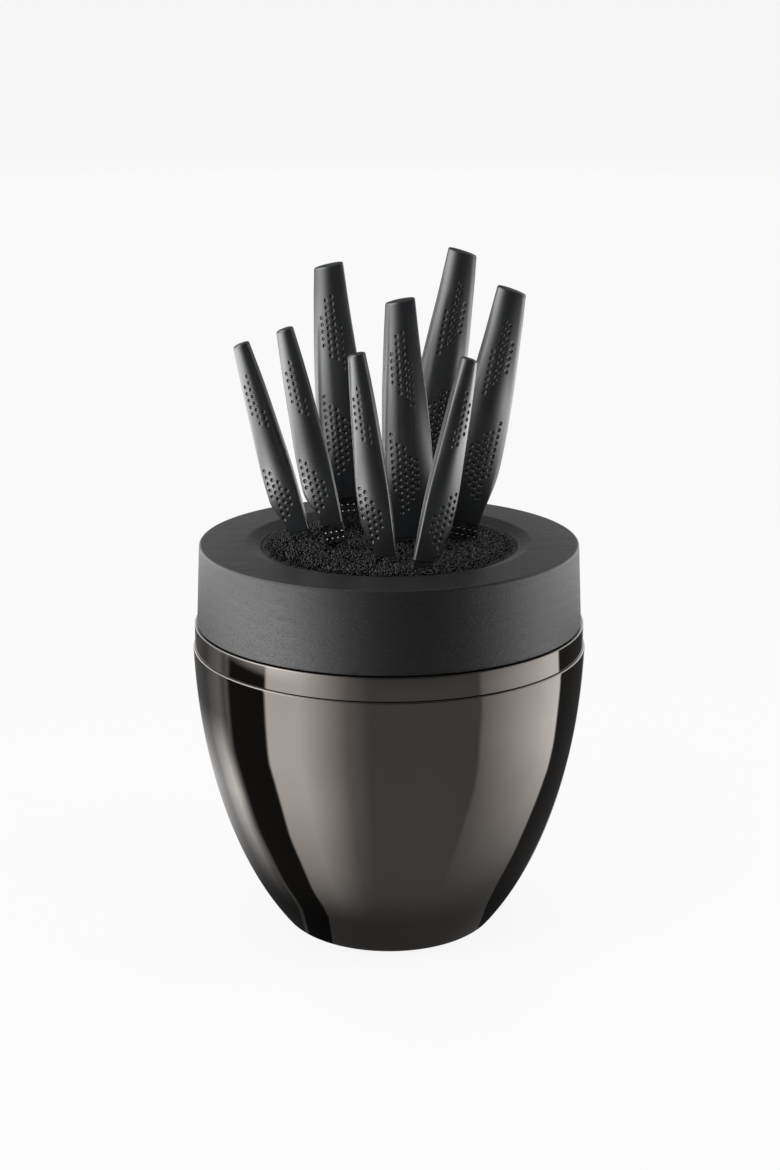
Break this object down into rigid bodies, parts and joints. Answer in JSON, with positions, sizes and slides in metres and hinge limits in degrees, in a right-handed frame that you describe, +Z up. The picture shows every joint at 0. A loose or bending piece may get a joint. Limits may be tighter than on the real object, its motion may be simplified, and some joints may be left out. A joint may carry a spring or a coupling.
{
  "type": "knife block with knives",
  "caption": "Egg-shaped steel knife block with a black wooden ring and a lift-out bristle cup, holding dimple-handled kitchen knives that pull out.",
  "frame": {"origin": "centre of the base, on the surface the block stands on", "axes": "+Z up, -Y towards the side in the picture, +X to the right of that side"},
  "size_m": [0.2147, 0.2146, 0.3726],
  "materials": {
    "gunmetal_steel": "mirror-polished gunmetal plating",
    "black_stained_wood": "black stain, satin, faint grain",
    "screw_steel": "zinc plated",
    "foot_rubber": "matt",
    "cup_plastic": "moulded, matt",
    "bristle_nylon": "extruded strands",
    "handle_black": "satin black, moulded",
    "blade_steel": "satin ground"
  },
  "bodies": {
    "block": {"bowl": "gunmetal_steel", "collar": "gunmetal_steel", "top_ring": "black_stained_wood", "ring_screws": "screw_steel", "base_foot": "foot_rubber"},
    "insert": {"bristle_cup": "cup_plastic", "bristles": "bristle_nylon"},
    "utility_knife": {"utility_handle": "handle_black", "utility_blade": "blade_steel"},
    "vegetable_knife": {"vegetable_handle": "handle_black", "vegetable_blade": "blade_steel"},
    "bread_knife": {"bread_handle": "handle_black", "bread_blade": "blade_steel"},
    "paring_knife": {"paring_handle": "handle_black", "paring_blade": "blade_steel"},
    "santoku_knife": {"santoku_handle": "handle_black", "santoku_blade": "blade_steel"},
    "carving_knife": {"carving_handle": "handle_black", "carving_blade": "blade_steel"},
    "trimming_knife": {"trimming_handle": "handle_black", "trimming_blade": "blade_steel"},
    "chef_knife": {"chef_handle": "handle_black", "chef_blade": "blade_steel"}
  },
  "joints": [
    {"name": "insert_lift", "type": "slide", "parent": "block", "child": "insert", "axis": [0, 0, 1], "range_m": [0, 0.205]},
    {"name": "utility_pull", "type": "slide", "parent": "insert", "child": "utility_knife", "axis": [-0.2663, 0.0566, 0.9622], "range_m": [0, 0.133]},
    {"name": "vegetable_pull", "type": "slide", "parent": "insert", "child": "vegetable_knife", "axis": [-0.2059, 0.0289, 0.9781], "range_m": [0, 0.132]},
    {"name": "bread_pull", "type": "slide", "parent": "insert", "child": "bread_knife", "axis": [-0.0924, 0, 0.9957], "range_m": [0, 0.197]},
    {"name": "paring_pull", "type": "slide", "parent": "insert", "child": "paring_knife", "axis": [-0.1205, 0.0345, 0.9921], "range_m": [0, 0.103]},
    {"name": "santoku_pull", "type": "slide", "parent": "insert", "child": "santoku_knife", "axis": [-0.0663, 0, 0.9978], "range_m": [0, 0.1875]},
    {"name": "carving_pull", "type": "slide", "parent": "insert", "child": "carving_knife", "axis": [0.1771, 0, 0.9842], "range_m": [0, 0.189]},
    {"name": "trimming_pull", "type": "slide", "parent": "insert", "child": "trimming_knife", "axis": [0.1977, 0.0839, 0.9767], "range_m": [0, 0.123]},
    {"name": "chef_pull", "type": "slide", "parent": "insert", "child": "chef_knife", "axis": [0.2062, 0, 0.9785], "range_m": [0, 0.2005]}
  ]
}
